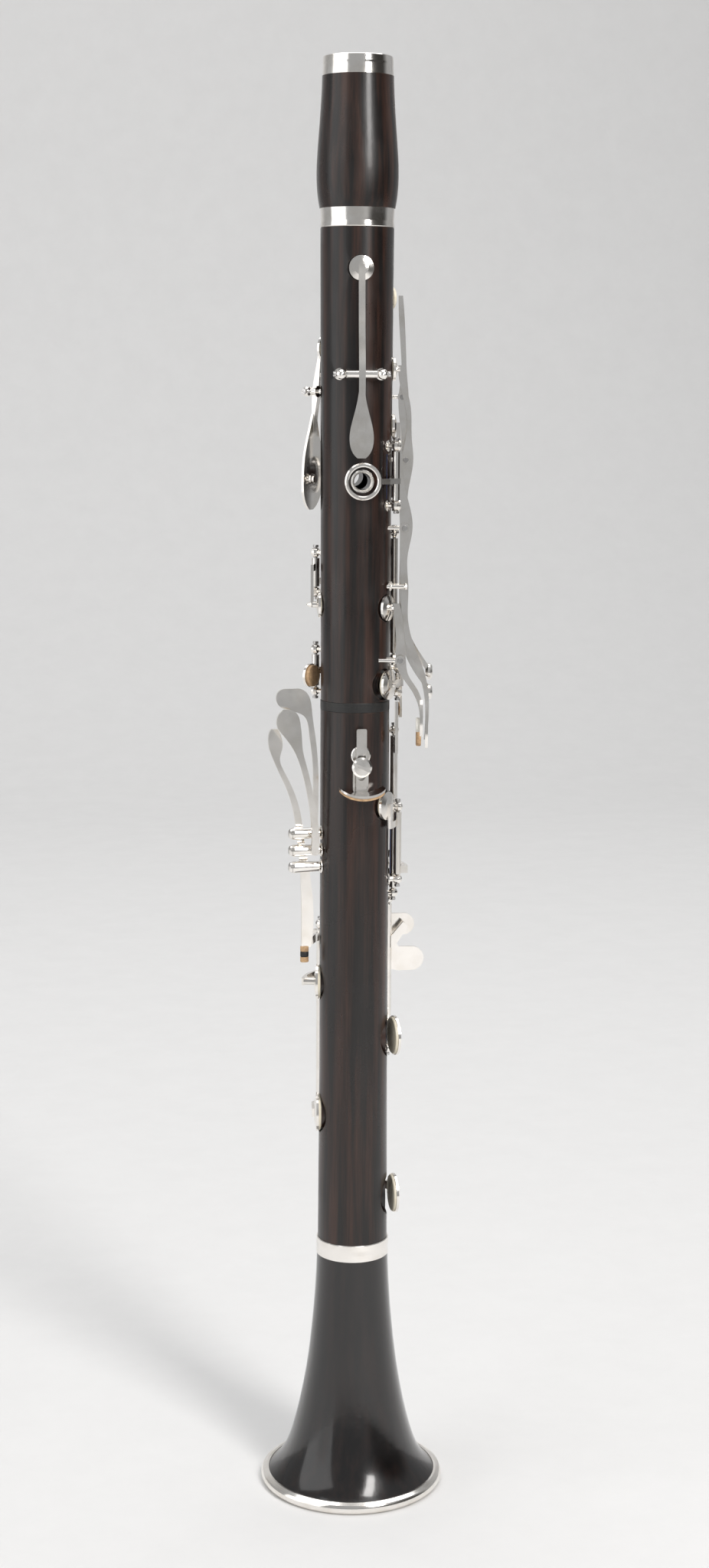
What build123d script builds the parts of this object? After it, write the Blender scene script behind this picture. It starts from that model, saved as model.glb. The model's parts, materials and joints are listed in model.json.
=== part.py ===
from build123d import *
from math import cos, radians, sin, sqrt
import os

# A B-flat soprano clarinet without its mouthpiece, standing on its bell.
# Millimetres. +Z runs up the bore from the bell's rim. An azimuth is counted round the
# body from the thumb side (-Y), growing towards the player's right hand side (+X), so
# 0 is the thumb hole, 90 the trill keys, 180 the finger holes, 270 the little finger levers.

# Lengths of the joints along the bore
bell_length = 109.0
lower_length = 229.0
upper_length = 188.0
barrel_length = 65.5
lower_foot = bell_length
upper_foot = lower_foot + lower_length
barrel_foot = upper_foot + upper_length
total_length = barrel_foot + barrel_length

# Outer radii of the joints: (height, radius), straight tapers between them
upper_taper = [(upper_foot, 13.95), (barrel_foot, 14.63)]
lower_taper = [(lower_foot, 14.62), (180.0, 14.2), (upper_foot, 14.1)]
bore_radius = 7.35
socket_radius = 11.9
mouthpiece_depth = 17.5
tenon_radius = 10.9
tenon_length = 16.5
middle_tenon_length = 21.0
bell_tenon_length = 20.0
cork_depth = 0.8
socket_gap = 0.05

# Key work
rod_radius = 0.75
running_gap = 0.05
tube_radius = 1.6
ball_radius = 2.1
flange_radius = 2.3
stud_radius = 1.0
stud_depth = 2.2
end_gap = 0.15
cup_wall = 0.5
cup_lip = 0.9
closed_gap = 0.06
blade_thickness = 1.8

# The four tall levers lie side by side in planes square to this azimuth
side_azimuth = 80.0
side_lanes = {"side_key_1": -7.7, "side_key_2": -3.0, "trill_key_3": 1.7, "trill_key_4": 6.4}

# The three little finger levers turn on studs that stand straight out of the body here
lever_azimuth = 275.5

# Finger holes on the front: height of each one, and of the ring that goes round it
hole_rings = {"first": 428.0, "second": 397.0, "third": 366.0, "fourth": 297.0, "fifth": 272.0, "sixth": 247.0}
front = 180.0
thumb_height = 427.0
chimney_radius = 4.9
chimney_rise = 2.2
finger_hole_radius = 3.9
ring_inner = 5.75
ring_outer = 7.4
ring_depth = 1.3
ring_clearance = 2.3
# Pressing a ring also slides it a little sideways, so at rest it stands off centre by half of that
ring_shift = -0.37

# Hinges that run along the bore: azimuth, distance from the bore, lower end, upper end
upright = {
    "thumb_ring_key": (51.5, 18.5, 419.4, 438.6),
    "upper_ring_key": (112.0, 18.4, 419.4, 438.6),
    "middle_ring_key": (112.0, 18.4, 356.0, 403.0),
    "bridge_key": (85.0, 17.4, 342.8, 348.6),
    "c_sharp_key": (235.0, 18.0, 342.6, 355.4),
    "sliver_key": (238.0, 17.6, 383.5, 395.0),
    "lower_ring_key": (105.0, 17.8, 258.0, 322.0),
    "fork_key": (84.0, 17.9, 265.0, 291.0),
    "f_key": (118.0, 18.0, 190.0, 250.0),
    "e_key": (134.0, 18.0, 121.0, 250.0),
    "a_flat_key": (204.0, 18.0, 214.0, 236.0),
    "f_sharp_key": (222.0, 18.0, 158.0, 239.0),
}

# Hinges that lie across the body: azimuth, distance from the bore, height, sideways place, half length
across = {
    "register_key": (-3.0, 18.8, 469.0, 0.0, 6.0),
    "throat_a_key": (178.0, 18.8, 468.0, 0.0, 5.0),
    "g_sharp_key": (228.0, 18.8, 462.0, 0.0, 5.0),
    "trill_key_4": (side_azimuth, 18.6, 460.0, 6.4, 1.2),
    "trill_key_3": (side_azimuth, 19.9, 435.0, 1.7, 1.2),
    "side_key_2": (side_azimuth, 19.7, 408.0, -3.0, 1.2),
    "side_key_1": (side_azimuth, 18.3, 355.0, -7.7, 1.2),
}

# Padded holes: azimuth, height, pad radius, tone hole radius
padded = {
    "register_key": (-3.0, 510.0, 4.4, 1.9),
    "upper_ring_key": (158.0, 447.0, 4.6, 2.6),
    "middle_ring_key": (150.0, 382.0, 4.4, 2.4),
    "bridge_key": (48.0, 345.0, 5.6, 3.4),
    "throat_a_key": (178.0, 487.0, 5.0, 3.0),
    "g_sharp_key": (228.0, 479.0, 5.0, 3.0),
    "trill_key_4": (102.1, 499.0, 4.2, 2.2),
    "trill_key_3": (85.7, 471.0, 4.2, 2.2),
    "side_key_2": (82.0, 448.5, 4.2, 2.4),
    "side_key_1": (54.0, 376.0, 4.8, 2.6),
    "c_sharp_key": (203.0, 349.0, 4.6, 2.8),
    "sliver_key": (262.0, 376.6, 4.8, 2.6),
    "lower_ring_key": (150.0, 260.0, 4.8, 3.0),
    "fork_key": (52.0, 295.0, 5.4, 3.3),
    "a_flat_key": (258.0, 219.0, 6.8, 4.9),
    "f_key": (82.0, 196.0, 7.8, 6.0),
    "f_sharp_key": (263.0, 163.0, 7.6, 5.8),
    "e_key": (82.0, 127.0, 7.8, 6.4),
}

# Keys that stand open at rest, and how many degrees each one turns to close its hole
standing_open = {
    "upper_ring_key": 4.0,
    "middle_ring_key": 4.0,
    "lower_ring_key": 4.0,
    "bridge_key": 6.3,
    "f_key": 13.5,
    "e_key": 10.0,
}


def out_of(azimuth):
    angle = radians(azimuth)
    return Vector(sin(angle), -cos(angle), 0)


def round_of(azimuth):
    angle = radians(azimuth)
    return Vector(cos(angle), sin(angle), 0)


def place(azimuth, distance, height, sideways=0.0):
    return out_of(azimuth) * distance + round_of(azimuth) * sideways + Vector(0, 0, height)


def facing(azimuth, distance, height, sideways=0.0):
    """A plane that looks out of the body, with its y up the bore."""
    return Plane(
        origin=place(azimuth, distance, height, sideways),
        x_dir=round_of(azimuth),
        z_dir=out_of(azimuth),
    )


def standing(azimuth, sideways=0.0):
    """A plane along the bore: x is the distance out of it, y the height."""
    return Plane(
        origin=place(azimuth, 0, 0, sideways),
        x_dir=out_of(azimuth),
        z_dir=round_of(azimuth) * -1,
    )


def wood_radius(height):
    """The outer radius of the joint at a height."""
    taper = upper_taper if height >= upper_foot else lower_taper
    for (low, low_radius), (high, high_radius) in zip(taper, taper[1:]):
        if height <= high:
            share = (height - low) / (high - low)
            return low_radius + share * (high_radius - low_radius)
    return taper[-1][1]


def seat_level(name):
    """How far from the bore the rim under a pad stands."""
    _, height, pad_radius, _ = padded[name]
    return wood_radius(height) - 0.11 * pad_radius


def pad_depth(name):
    return 1.3 if padded[name][2] < 5.3 else 1.9


def pad_level(name):
    """How far from the bore the pad's face is when its key is closed."""
    return seat_level(name) + closed_gap


def crown_level(name):
    return pad_level(name) + pad_depth(name) + 1.1


def bar(start, end, radius, mode=Mode.ADD):
    """A round bar between two points."""
    line = end - start
    with BuildSketch(Plane(origin=start, z_dir=line)) as outline:
        Circle(radius)
    extrude(outline.sketch, amount=line.length, mode=mode)


def peg(azimuth, height, inner, outer, radius, sideways=0.0, mode=Mode.ADD):
    """A round bar that points straight out of the body."""
    with BuildSketch(facing(azimuth, inner, height, sideways)) as outline:
        Circle(radius)
    extrude(outline.sketch, amount=outer - inner, mode=mode)


def turned(azimuth, height, profile, sideways=0.0, mode=Mode.ADD):
    """A turned piece on a line out of the body. profile holds (distance out, radius)."""
    with BuildSketch(standing(azimuth, sideways)) as outline:
        with BuildLine():
            Polyline(*[(out, height + radius) for out, radius in profile], close=True)
        make_face()
    centre_line = Axis(place(azimuth, 0, height, sideways), out_of(azimuth))
    revolve(outline.sketch, axis=centre_line, mode=mode)


def strap(start_azimuth, end_azimuth, inner, outer, low, high):
    """A strap that follows the round of the body."""
    sweep_angle = end_azimuth - start_azimuth
    with BuildSketch(Plane.XY.offset(low)) as outline:
        with BuildLine():
            near = CenterArc((0, 0), inner, start_azimuth - 90, sweep_angle)
            far = CenterArc((0, 0), outer, start_azimuth - 90, sweep_angle)
            Line(near @ 0, far @ 0)
            Line(near @ 1, far @ 1)
        make_face()
    extrude(outline.sketch, amount=high - low)


def blade(azimuth, sideways, stations, thickness):
    """A tall flat lever along the bore. stations holds (height, inner edge, outer edge)."""
    with BuildSketch(standing(azimuth, sideways)) as outline:
        with BuildLine():
            inner_edge = Spline(*[(inner, height) for height, inner, _ in stations])
            outer_edge = Spline(*[(outer, height) for height, _, outer in stations])
            Line(inner_edge @ 0, outer_edge @ 0)
            Line(inner_edge @ 1, outer_edge @ 1)
        make_face()
    extrude(outline.sketch, amount=thickness / 2, both=True)


def leaf(plane, stations, thickness):
    """A flat touch. stations holds (distance along the plane's y, left edge, right edge)."""
    with BuildSketch(plane) as outline:
        with BuildLine():
            left = Spline(*[(edge, along) for along, edge, _ in stations])
            right = Spline(*[(edge, along) for along, _, edge in stations])
            Line(left @ 0, right @ 0)
            Line(left @ 1, right @ 1)
        make_face()
    extrude(outline.sketch, amount=thickness)


def hinge_ends(name):
    if name in upright:
        azimuth, distance, low, high = upright[name]
        return place(azimuth, distance, low), place(azimuth, distance, high)
    azimuth, distance, height, sideways, half = across[name]
    return (
        place(azimuth, distance, height, sideways - half),
        place(azimuth, distance, height, sideways + half),
    )


def hinge_tube(name):
    start, end = hinge_ends(name)
    bar(start, end, tube_radius)


def flat_arm(azimuth, reach, level, hinge_azimuth, distance, height, width):
    """An arm that lies flat over a cup or beside a ring, then bends down to an upright hinge.
    reach holds how far the flat part runs to each side of the azimuth, hinge side last."""
    turn = radians(hinge_azimuth - azimuth)
    across_hinge = distance * sin(turn)
    out_hinge = distance * cos(turn)
    corners = [
        (reach[0], level),
        (reach[0], level + 1.2),
        (reach[1], level + 1.2),
        (across_hinge, out_hinge + 1.1),
        (across_hinge, out_hinge - 1.1),
        (reach[1], level - 0.25),
    ]
    with BuildSketch(Plane(origin=(0, 0, height - width / 2), x_dir=round_of(azimuth), z_dir=(0, 0, 1))) as outline:
        with BuildLine():
            Polyline(*[(along, -out) for along, out in corners], close=True)
        make_face()
    extrude(outline.sketch, amount=width)


def pad_arm(name, height, width):
    pad_azimuth, _, pad_radius, _ = padded[name]
    azimuth, distance, _, _ = upright[name]
    side = 1 if azimuth > pad_azimuth else -1
    reach = (-1.5 * side, (pad_radius + cup_wall + 0.2) * side)
    flat_arm(pad_azimuth, reach, crown_level(name) - 0.5, azimuth, distance, height, width)


def ring_arm(name, ring_height, height, reach_end=-7.0):
    azimuth, distance, _, _ = upright[name]
    level = wood_radius(ring_height) + ring_clearance
    flat_arm(front, (reach_end, -8.6), level, azimuth, distance, height, 3.0)


def link(azimuth, level, low, high, sideways=0.0):
    """A flat strip up the bore that joins a cup or a ring to an arm that passes beside it."""
    with BuildSketch(facing(azimuth, level, (low + high) / 2, sideways)) as outline:
        Rectangle(3.0, high - low)
    extrude(outline.sketch, amount=1.2)


def hinge_bore(name):
    """Opens the tube for its rod, right through."""
    start, end = hinge_ends(name)
    spare = (end - start).normalized()
    bar(start - spare, end + spare, rod_radius + running_gap, mode=Mode.SUBTRACT)


def stand_open(name, closed_shape):
    """Turns a closed cup, arm or pad on its hinge to where it stands at rest."""
    if name not in standing_open:
        return closed_shape
    azimuth, distance, low, _ = upright[name]
    outward = 1 if padded[name][0] < azimuth else -1
    return closed_shape.rotate(Axis(place(azimuth, distance, low), (0, 0, 1)), outward * standing_open[name])


def cup(name):
    """The shallow cup that holds a pad, with a domed crown and a small point."""
    azimuth, height, pad_radius, _ = padded[name]
    top = pad_level(name) + pad_depth(name)
    inside = pad_radius + 0.03
    outside = pad_radius + cup_wall
    turned(
        azimuth,
        height,
        [
            (top, 0),
            (top, inside),
            (top - cup_lip, inside),
            (top - cup_lip, outside),
            (top + 0.1, outside),
            (top + 0.75, 0.62 * pad_radius),
            (top + 1.0, 0.25 * pad_radius),
            (top + 1.1, 0),
        ],
    )


def pad(name):
    """A stuffed skin pad, slightly narrower at its face."""
    azimuth, height, pad_radius, _ = padded[name]
    face = pad_level(name)
    back = face + pad_depth(name)
    turned(azimuth, height, [(face, 0), (face, pad_radius - 0.35), (face + 0.4, pad_radius), (back, pad_radius), (back, 0)])


def finger_ring(azimuth, height, sideways=0.0):
    level = wood_radius(height) + ring_clearance
    turned(
        azimuth,
        height,
        [
            (level, ring_inner),
            (level + ring_depth - 0.3, ring_inner),
            (level + ring_depth, ring_inner + 0.4),
            (level + ring_depth, ring_outer - 0.5),
            (level + ring_depth - 0.5, ring_outer),
            (level, ring_outer),
        ],
        sideways=sideways,
    )


def milled_seat(name):
    """A flat milled for a pad, with a raised rim round the tone hole, drilled to the bore."""
    azimuth, height, pad_radius, hole_radius = padded[name]
    pocket = pad_radius + 0.9
    wood = wood_radius(height)
    floor = sqrt(wood**2 - pocket**2) - 0.1
    peg(azimuth, height, floor, wood + 4, pocket, mode=Mode.SUBTRACT)
    peg(azimuth, height, floor - 0.5, seat_level(name), hole_radius + 0.9)
    peg(azimuth, height, 3.0, wood + 4, hole_radius, mode=Mode.SUBTRACT)


def chimney(height):
    """A raised finger hole that a ring goes round."""
    wood = wood_radius(height)
    peg(front, height, wood - 2.5, wood + chimney_rise, chimney_radius)
    peg(front, height, 3.0, wood + chimney_rise + 1, finger_hole_radius, mode=Mode.SUBTRACT)


def post_places(names):
    """Azimuth, height, reach and sideways place of the two posts of each hinge."""
    places = []
    for name in names:
        if name in upright:
            azimuth, distance, low, high = upright[name]
            places.append((azimuth, low - end_gap - ball_radius, distance, 0.0))
            places.append((azimuth, high + end_gap + ball_radius, distance, 0.0))
        else:
            azimuth, distance, height, sideways, half = across[name]
            step = half + end_gap + ball_radius
            places.append((azimuth, height, distance, sideways - step))
            places.append((azimuth, height, distance, sideways + step))
    return places


def post_foot(height, sideways):
    """The level on which a post's flange lies: the highest wood under it."""
    nearest = max(0.0, abs(sideways) - flange_radius)
    return sqrt(wood_radius(height) ** 2 - nearest**2) + 0.03


def ball_post(azimuth, height, reach, sideways):
    foot = post_foot(height, sideways)
    turned(
        azimuth,
        height,
        [
            (foot - stud_depth, 0),
            (foot - stud_depth, stud_radius),
            (foot, stud_radius),
            (foot, flange_radius),
            (foot + 0.5, flange_radius),
            (foot + 0.8, 1.1),
            (reach - 1.8, 1.0),
            (reach - 1.1, 1.8),
            (reach, ball_radius),
            (reach + 1.2, 1.75),
            (reach + 1.9, 0.9),
            (reach + 2.1, 0),
        ],
        sideways=sideways,
    )


def saddle_ears(name):
    """Two slim ears on studs, which hold the short tube of a tall lever between them."""
    azimuth, distance, height, sideways, half = across[name]
    for side in (-1, 1):
        middle = sideways + side * (half + end_gap + 0.9)
        foot = post_foot(height, middle)
        peg(azimuth, height, foot - stud_depth, distance - 1.0, 0.75, sideways=middle)
        start = place(azimuth, distance, height, middle - 0.9)
        end = place(azimuth, distance, height, middle + 0.9)
        bar(start, end, ball_radius)


def ear_studs(name):
    azimuth, distance, height, sideways, half = across[name]
    for side in (-1, 1):
        middle = sideways + side * (half + end_gap + 0.9)
        foot = post_foot(height, middle)
        peg(azimuth, height, foot - stud_depth - 0.1, foot + 4, 0.8, sideways=middle, mode=Mode.SUBTRACT)


def post_studs(names):
    """Drills the holes for the posts' studs."""
    for azimuth, height, _, sideways in post_places(names):
        foot = post_foot(height, sideways)
        peg(azimuth, height, foot - stud_depth - 0.1, foot + 3, stud_radius + 0.05, sideways=sideways, mode=Mode.SUBTRACT)


guide_height = 384.5
guide_lanes = (-5.4, -0.6)
upper_ball_hinges = ["thumb_ring_key", "upper_ring_key", "middle_ring_key", "bridge_key", "c_sharp_key",
                     "sliver_key", "register_key", "throat_a_key", "g_sharp_key"]
lower_ball_hinges = ["lower_ring_key", "fork_key", "f_key", "e_key", "a_flat_key", "f_sharp_key"]
ear_hinges = ["trill_key_4", "trill_key_3", "side_key_2", "side_key_1"]
upper_padded = ["register_key", "upper_ring_key", "middle_ring_key", "bridge_key", "throat_a_key", "g_sharp_key",
                "trill_key_4", "trill_key_3", "side_key_2", "side_key_1", "c_sharp_key", "sliver_key"]
lower_padded = ["lower_ring_key", "fork_key", "a_flat_key", "f_key", "f_sharp_key", "e_key"]


# Barrel: straight under its top ring, then a long swell that draws in to the lower ring
barrel_rings_height = 7.4
with BuildPart() as barrel_body:
    with BuildSketch(Plane.XZ):
        with BuildLine():
            swell = Spline(
                (15.0, barrel_foot + 7.5),
                (15.95, barrel_foot + 14),
                (16.2, barrel_foot + 23),
                (15.45, barrel_foot + 35),
                (14.6, barrel_foot + 47),
                (14.1, total_length - 7.4),
            )
            Polyline(
                swell @ 1,
                (12.9, total_length - 7.4),
                (12.9, total_length - 1.0),
                (socket_radius, total_length - 1.0),
                (socket_radius, total_length - mouthpiece_depth),
                (bore_radius + 0.1, total_length - mouthpiece_depth),
                (bore_radius + 0.1, barrel_foot + tenon_length + 0.6),
                (tenon_radius + cork_depth + socket_gap, barrel_foot + tenon_length + 0.6),
                (tenon_radius + cork_depth + socket_gap, barrel_foot + 1.0),
                (13.4, barrel_foot + 1.0),
                (13.4, barrel_foot + 7.5),
                swell @ 0,
            )
        make_face()
    revolve(axis=Axis.Z)
barrel_body.part.label = "barrel_body"

with BuildPart() as barrel_rings:
    with BuildSketch(Plane.XZ):
        with BuildLine():
            Polyline(
                (12.95, total_length - 7.4),
                (14.05, total_length - 7.4),
                (13.85, total_length - 3.4),
                (13.95, total_length - 2.6),
                (13.75, total_length - 0.3),
                (13.4, total_length),
                (socket_radius, total_length),
                (socket_radius, total_length - 0.95),
                (12.95, total_length - 0.95),
                close=True,
            )
        make_face()
    revolve(axis=Axis.Z)
    with BuildSketch(Plane.XZ):
        with BuildLine():
            Polyline(
                (tenon_radius + cork_depth + socket_gap, barrel_foot + 0.1),
                (14.6, barrel_foot + 0.1),
                (14.7, barrel_foot + 0.4),
                (14.45, barrel_foot + 2.4),
                (14.6, barrel_foot + 5.0),
                (14.8, barrel_foot + 7.45),
                (13.45, barrel_foot + 7.45),
                (13.45, barrel_foot + 0.95),
                (tenon_radius + cork_depth + socket_gap, barrel_foot + 0.95),
                close=True,
            )
        make_face()
    revolve(axis=Axis.Z)
barrel_rings.part.label = "barrel_rings"

# Upper joint: tapered tube, a tenon at each end with a groove for its cork
with BuildPart() as upper_joint_body:
    with BuildSketch(Plane.XZ):
        with BuildLine():
            Polyline(
                (bore_radius, upper_foot - middle_tenon_length),
                (tenon_radius + 0.5, upper_foot - middle_tenon_length),
                (tenon_radius + 0.5, upper_foot - middle_tenon_length + 3),
                (tenon_radius, upper_foot - middle_tenon_length + 3),
                (tenon_radius, upper_foot - 3),
                (tenon_radius + 0.5, upper_foot - 3),
                (tenon_radius + 0.5, upper_foot),
                (13.95, upper_foot),
                (14.63, barrel_foot - 0.1),
                (14.4, barrel_foot),
                (tenon_radius + 0.5, barrel_foot),
                (tenon_radius + 0.5, barrel_foot + 2.5),
                (tenon_radius, barrel_foot + 2.5),
                (tenon_radius, barrel_foot + tenon_length - 2.5),
                (tenon_radius + 0.5, barrel_foot + tenon_length - 2.5),
                (tenon_radius + 0.5, barrel_foot + tenon_length),
                (bore_radius, barrel_foot + tenon_length),
                close=True,
            )
        make_face()
    revolve(axis=Axis.Z)
    for name in upper_padded:
        milled_seat(name)
    for ring in ("first", "second", "third"):
        chimney(hole_rings[ring])
    # The thumb hole takes a stepped metal tube
    peg(0.0, thumb_height, 3.0, 18.0, 4.2, mode=Mode.SUBTRACT)
    post_studs(upper_ball_hinges)
    for name in ear_hinges:
        ear_studs(name)
    for lane in guide_lanes:
        peg(side_azimuth, guide_height, 11.0, 20.0, 0.95, sideways=lane, mode=Mode.SUBTRACT)
    # The register hole takes the register tube
    peg(-3.0, 510.0, 3.0, 16.0, 1.95, mode=Mode.SUBTRACT)
upper_joint_body.part.label = "upper_joint_body"

with BuildPart() as tenon_corks:
    cork_bands = [
        (lower_foot - bell_tenon_length + 3.0, lower_foot - 3.0),
        (upper_foot - middle_tenon_length + 3.0, upper_foot - 3.0),
        (barrel_foot + 2.5, barrel_foot + tenon_length - 2.5),
    ]
    for low, high in cork_bands:
        with BuildSketch(Plane.XY.offset(low + 0.05)):
            Circle(tenon_radius + cork_depth)
            Circle(tenon_radius + 0.02, mode=Mode.SUBTRACT)
        extrude(amount=high - low - 0.1)
tenon_corks.part.label = "tenon_corks"

# Metal tubes that line the thumb hole and the register hole
with BuildPart() as bore_tubes:
    wood = wood_radius(thumb_height)
    turned(
        0.0,
        thumb_height,
        [
            (bore_radius + 0.2, 3.4),
            (bore_radius + 0.2, 4.15),
            (wood + 0.1, 4.15),
            (wood + 0.1, 4.65),
            (wood + 1.4, 4.65),
            (wood + 1.9, 4.3),
            (wood + 1.9, 3.9),
            (wood + 1.4, 3.4),
        ],
    )
    seat = seat_level("register_key")
    turned(-3.0, 510.0, [(4.2, 0.75), (4.2, 1.5), (8.0, 1.9), (seat, 1.9), (seat, 0.75)])
bore_tubes.part.label = "bore_tubes"

# Lower joint: socket with a black composite band at the top, tenon for the bell below
band_height = 4.0
with BuildPart() as lower_joint_body:
    with BuildSketch(Plane.XZ):
        with BuildLine():
            Polyline(
                (bore_radius + 0.6, lower_foot - bell_tenon_length),
                (tenon_radius + 0.5, lower_foot - bell_tenon_length),
                (tenon_radius + 0.5, lower_foot - bell_tenon_length + 3),
                (tenon_radius, lower_foot - bell_tenon_length + 3),
                (tenon_radius, lower_foot - 3),
                (tenon_radius + 0.5, lower_foot - 3),
                (tenon_radius + 0.5, lower_foot),
                (14.62, lower_foot),
                (14.2, 180.0),
                (14.1, upper_foot - band_height - 0.02),
                (12.9, upper_foot - band_height - 0.02),
                (12.9, upper_foot - 0.9),
                (tenon_radius + cork_depth + socket_gap, upper_foot - 0.9),
                (tenon_radius + cork_depth + socket_gap, upper_foot - middle_tenon_length - 0.6),
                (bore_radius, upper_foot - middle_tenon_length - 0.6),
                close=True,
            )
        make_face()
    revolve(axis=Axis.Z)
    for name in lower_padded:
        milled_seat(name)
    for ring in ("fourth", "fifth", "sixth"):
        chimney(hole_rings[ring])
    post_studs(lower_ball_hinges)
    # Threaded holes of the three lever studs and of the thumb rest's screw
    for height in (283.0, 276.0, 269.0):
        peg(lever_azimuth, height, 10.0, 20.0, 1.25, mode=Mode.SUBTRACT)
    peg(0.0, 312.5, 12.3, 20.0, 1.55, mode=Mode.SUBTRACT)
lower_joint_body.part.label = "lower_joint_body"

with BuildPart() as lower_joint_socket_band:
    with BuildSketch(Plane.XZ):
        with BuildLine():
            Polyline(
                (12.95, upper_foot - band_height),
                (14.0, upper_foot - band_height),
                (14.15, upper_foot - band_height + 0.2),
                (14.15, upper_foot - 0.35),
                (13.95, upper_foot - 0.1),
                (tenon_radius + cork_depth + socket_gap, upper_foot - 0.1),
                (tenon_radius + cork_depth + socket_gap, upper_foot - 0.85),
                (12.95, upper_foot - 0.85),
                close=True,
            )
        make_face()
    revolve(axis=Axis.Z)
lower_joint_socket_band.part.label = "lower_joint_socket_band"

# Bell: a long cone that flares near the rim, hollow to match
with BuildPart() as bell_body:
    with BuildSketch(Plane.XZ):
        with BuildLine():
            outside = Spline(
                (15.0, bell_length - 7.2),
                (16.2, 79),
                (17.5, 65),
                (19.25, 51),
                (21.75, 37),
                (25.1, 23),
                (29.6, 11.5),
                (35.4, 4.6),
            )
            inside = Spline(
                (33.6, 0.9),
                (27.0, 8.0),
                (20.6, 23),
                (16.4, 42),
                (13.2, 66),
                (11.6, bell_length - bell_tenon_length - 3),
            )
            Polyline(outside @ 1, (35.4, 0.9), inside @ 0)
            Polyline(
                inside @ 1,
                (11.6, bell_length - bell_tenon_length - 0.6),
                (tenon_radius + cork_depth + socket_gap, bell_length - bell_tenon_length - 0.6),
                (tenon_radius + cork_depth + socket_gap, bell_length - 1.0),
                (13.6, bell_length - 1.0),
                (13.6, bell_length - 7.2),
                outside @ 0,
            )
        make_face()
    revolve(axis=Axis.Z)
bell_body.part.label = "bell_body"

with BuildPart() as bell_socket_ring:
    with BuildSketch(Plane.XZ):
        with BuildLine():
            Polyline(
                (13.65, bell_length - 7.15),
                (15.25, bell_length - 7.15),
                (15.1, bell_length - 4.5),
                (15.3, bell_length - 2.6),
                (15.1, bell_length - 0.4),
                (14.8, bell_length - 0.1),
                (tenon_radius + cork_depth + socket_gap, bell_length - 0.1),
                (tenon_radius + cork_depth + socket_gap, bell_length - 0.95),
                (13.65, bell_length - 0.95),
                close=True,
            )
        make_face()
    revolve(axis=Axis.Z)
bell_socket_ring.part.label = "bell_socket_ring"

with BuildPart() as bell_rim_ring:
    with BuildSketch(Plane.XZ):
        with BuildLine():
            bead = ThreePointArc((38.0, 4.2), (38.7, 2.4), (37.9, 0.5))
            Polyline(
                bead @ 1,
                (37.0, 0),
                (33.6, 0),
                (33.6, 0.85),
                (35.45, 0.85),
                (35.45, 4.7),
                (36.4, 4.9),
                bead @ 0,
            )
        make_face()
    revolve(axis=Axis.Z)
bell_rim_ring.part.label = "bell_rim_ring"

# Posts. A ball post is bored for its rod; the tall levers have slim ears instead
with BuildPart() as upper_posts:
    for azimuth, height, reach, sideways in post_places(upper_ball_hinges):
        ball_post(azimuth, height, reach, sideways)
    for name in ear_hinges:
        saddle_ears(name)
    for name in upper_ball_hinges + ear_hinges:
        start, end = hinge_ends(name)
        spare = (end - start).normalized() * 5
        bar(start - spare, end + spare, rod_radius + 0.02, mode=Mode.SUBTRACT)
upper_posts.part.label = "upper_posts"

with BuildPart() as lower_posts:
    for azimuth, height, reach, sideways in post_places(lower_ball_hinges):
        ball_post(azimuth, height, reach, sideways)
    for name in lower_ball_hinges:
        start, end = hinge_ends(name)
        spare = (end - start).normalized() * 5
        bar(start - spare, end + spare, rod_radius + 0.02, mode=Mode.SUBTRACT)
lower_posts.part.label = "lower_posts"

with BuildPart() as hinge_rods:
    for name in upper_ball_hinges + lower_ball_hinges:
        start, end = hinge_ends(name)
        spare = (end - start).normalized() * (end_gap + 2 * ball_radius + 0.1)
        bar(start - spare, end + spare, rod_radius)
    for name in ear_hinges:
        start, end = hinge_ends(name)
        spare = (end - start).normalized() * (end_gap + 1.9)
        bar(start - spare, end + spare, rod_radius)
hinge_rods.part.label = "hinge_rods"

# Studs of the little finger levers: a collar on the body, a long bearing and a slotted head
lever_studs_heights = {"lever_f": 283.0, "lever_e": 276.0, "lever_f_sharp": 269.0}
with BuildPart() as lever_studs:
    for height in lever_studs_heights.values():
        wood = wood_radius(height)
        turned(
            lever_azimuth,
            height,
            [
                (wood - 4.0, 0),
                (wood - 4.0, 1.2),
                (wood, 1.2),
                (wood, 2.9),
                (wood + 0.5, 2.6),
                (wood + 0.8, 1.2),
                (26.6, 1.2),
                (26.6, 2.2),
                (27.3, 1.9),
                (27.8, 1.1),
                (27.8, 0),
            ],
        )
        with BuildSketch(facing(lever_azimuth, 27.1, height)) as slot:
            Rectangle(0.6, 5)
        extrude(slot.sketch, amount=2, mode=Mode.SUBTRACT)
lever_studs.part.label = "lever_studs"

# Needle springs: each one runs from its post close over the wood
spring_places = [
    ("thumb_ring_key", -6.0), ("upper_ring_key", 7.0), ("middle_ring_key", 7.0), ("sliver_key", -7.0),
    ("lower_ring_key", 7.0), ("fork_key", -8.0), ("f_key", -7.0), ("e_key", 7.0), ("f_sharp_key", -8.0),
]
with BuildPart() as needle_springs:
    for name, turn in spring_places:
        azimuth, distance, low, high = upright[name]
        foot = wood_radius(low) + 0.75
        length = min(high - low, 26.0) - 1.0
        bar(place(azimuth + turn, foot, low + 0.5), place(azimuth + turn, foot, low + length), 0.25)
needle_springs.part.label = "needle_springs"

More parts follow.
